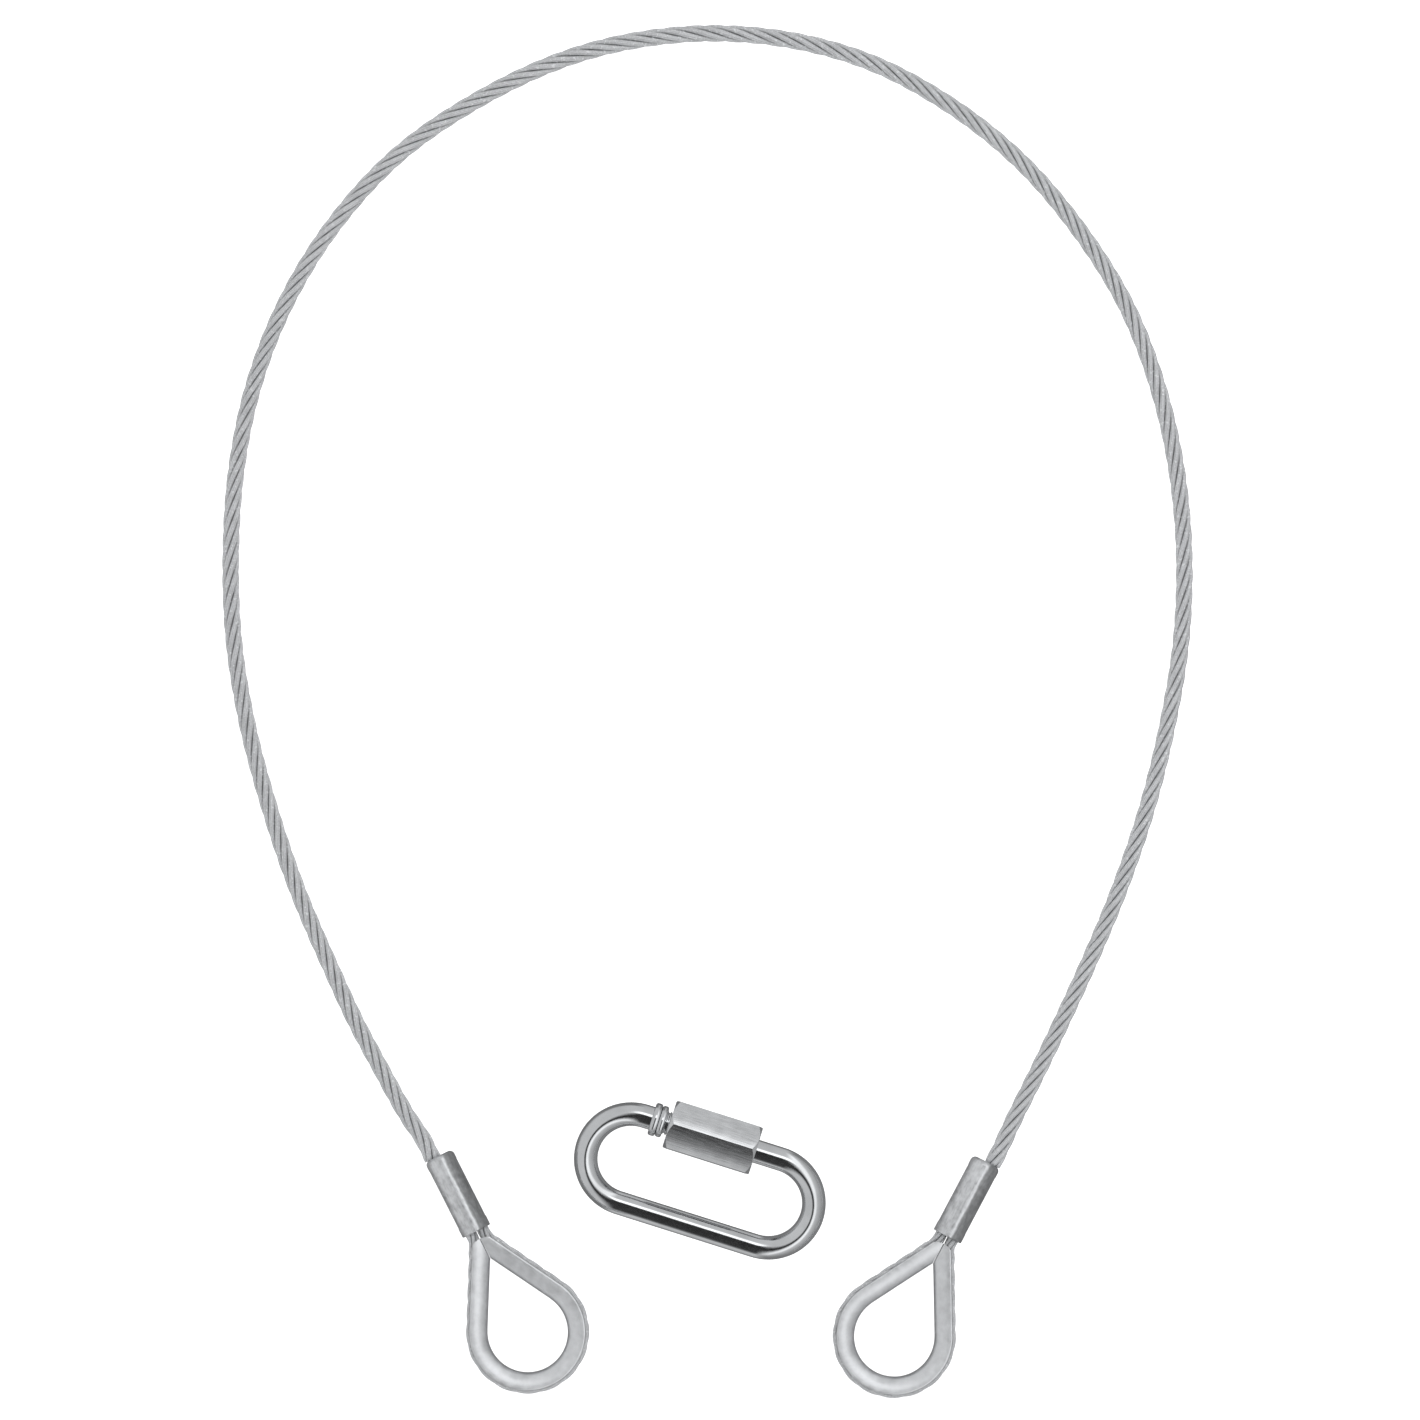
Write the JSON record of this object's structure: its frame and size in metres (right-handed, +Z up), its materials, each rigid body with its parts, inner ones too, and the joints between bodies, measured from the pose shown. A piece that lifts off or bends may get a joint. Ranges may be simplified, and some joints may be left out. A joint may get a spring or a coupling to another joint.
{
  "type": "wire rope sling with thimble eyes and quick link",
  "caption": "Wire rope safety sling with a pressed thimble eye at each end, lying in a loop, and a loose oval quick link with a screw gate nut.",
  "frame": {"origin": "on the table, under the middle of the box round the two eyes and the link, leaving out the free rope", "axes": "+X across from the left eye to the right eye, +Y towards the top of the rope loop, +Z up from the table"},
  "size_m": [0.291, 0.4118, 0.0166],
  "materials": {
    "rope_wire": "galvanised steel wires, matte silver with dark gaps and bright glints",
    "thimble_zinc": "bright zinc plated pressed steel, satin",
    "ferrule_alloy": "matte pressed aluminium alloy with faint lengthwise die marks",
    "link_zinc": "bright polished zinc plating, glossy"
  },
  "bodies": {
    "sling": {"left_thimble": "thimble_zinc", "left_ferrule": "ferrule_alloy", "left_eye_strand_1": "rope_wire", "left_eye_strand_2": "rope_wire", "left_eye_strand_3": "rope_wire", "left_eye_strand_4": "rope_wire", "left_eye_strand_5": "rope_wire", "left_eye_strand_6": "rope_wire", "left_eye_core": "rope_wire", "rope_run": "rope_wire", "right_thimble": "thimble_zinc", "right_ferrule": "ferrule_alloy", "right_eye_strand_1": "rope_wire", "right_eye_strand_2": "rope_wire", "right_eye_strand_3": "rope_wire", "right_eye_strand_4": "rope_wire", "right_eye_strand_5": "rope_wire", "right_eye_strand_6": "rope_wire", "right_eye_core": "rope_wire"},
    "link": {"link_body": "link_zinc"},
    "nut_screw": {"nut_thread": "link_zinc"},
    "nut": {"link_nut": "link_zinc"}
  },
  "joints": [
    {"name": "link_lift", "type": "slide", "parent": "sling", "child": "link", "axis": [0, 0, 1], "range_m": [0, 0.06]},
    {"name": "nut_run", "type": "slide", "parent": "link", "child": "nut_screw", "axis": [0.9537, -0.3007, 0], "range_m": [-0.0014, 0.012]},
    {"name": "nut_turn", "type": "hinge", "parent": "nut_screw", "child": "nut", "pos_m": [0.00026, 0.03267, 0.00831], "axis": [0.9537, -0.3007, 0], "range_deg": [-510, 4326]}
  ],
  "couplings": [
    {"joint": "nut_turn", "follows": "nut_run", "rad_per_m": 6283.2}
  ]
}
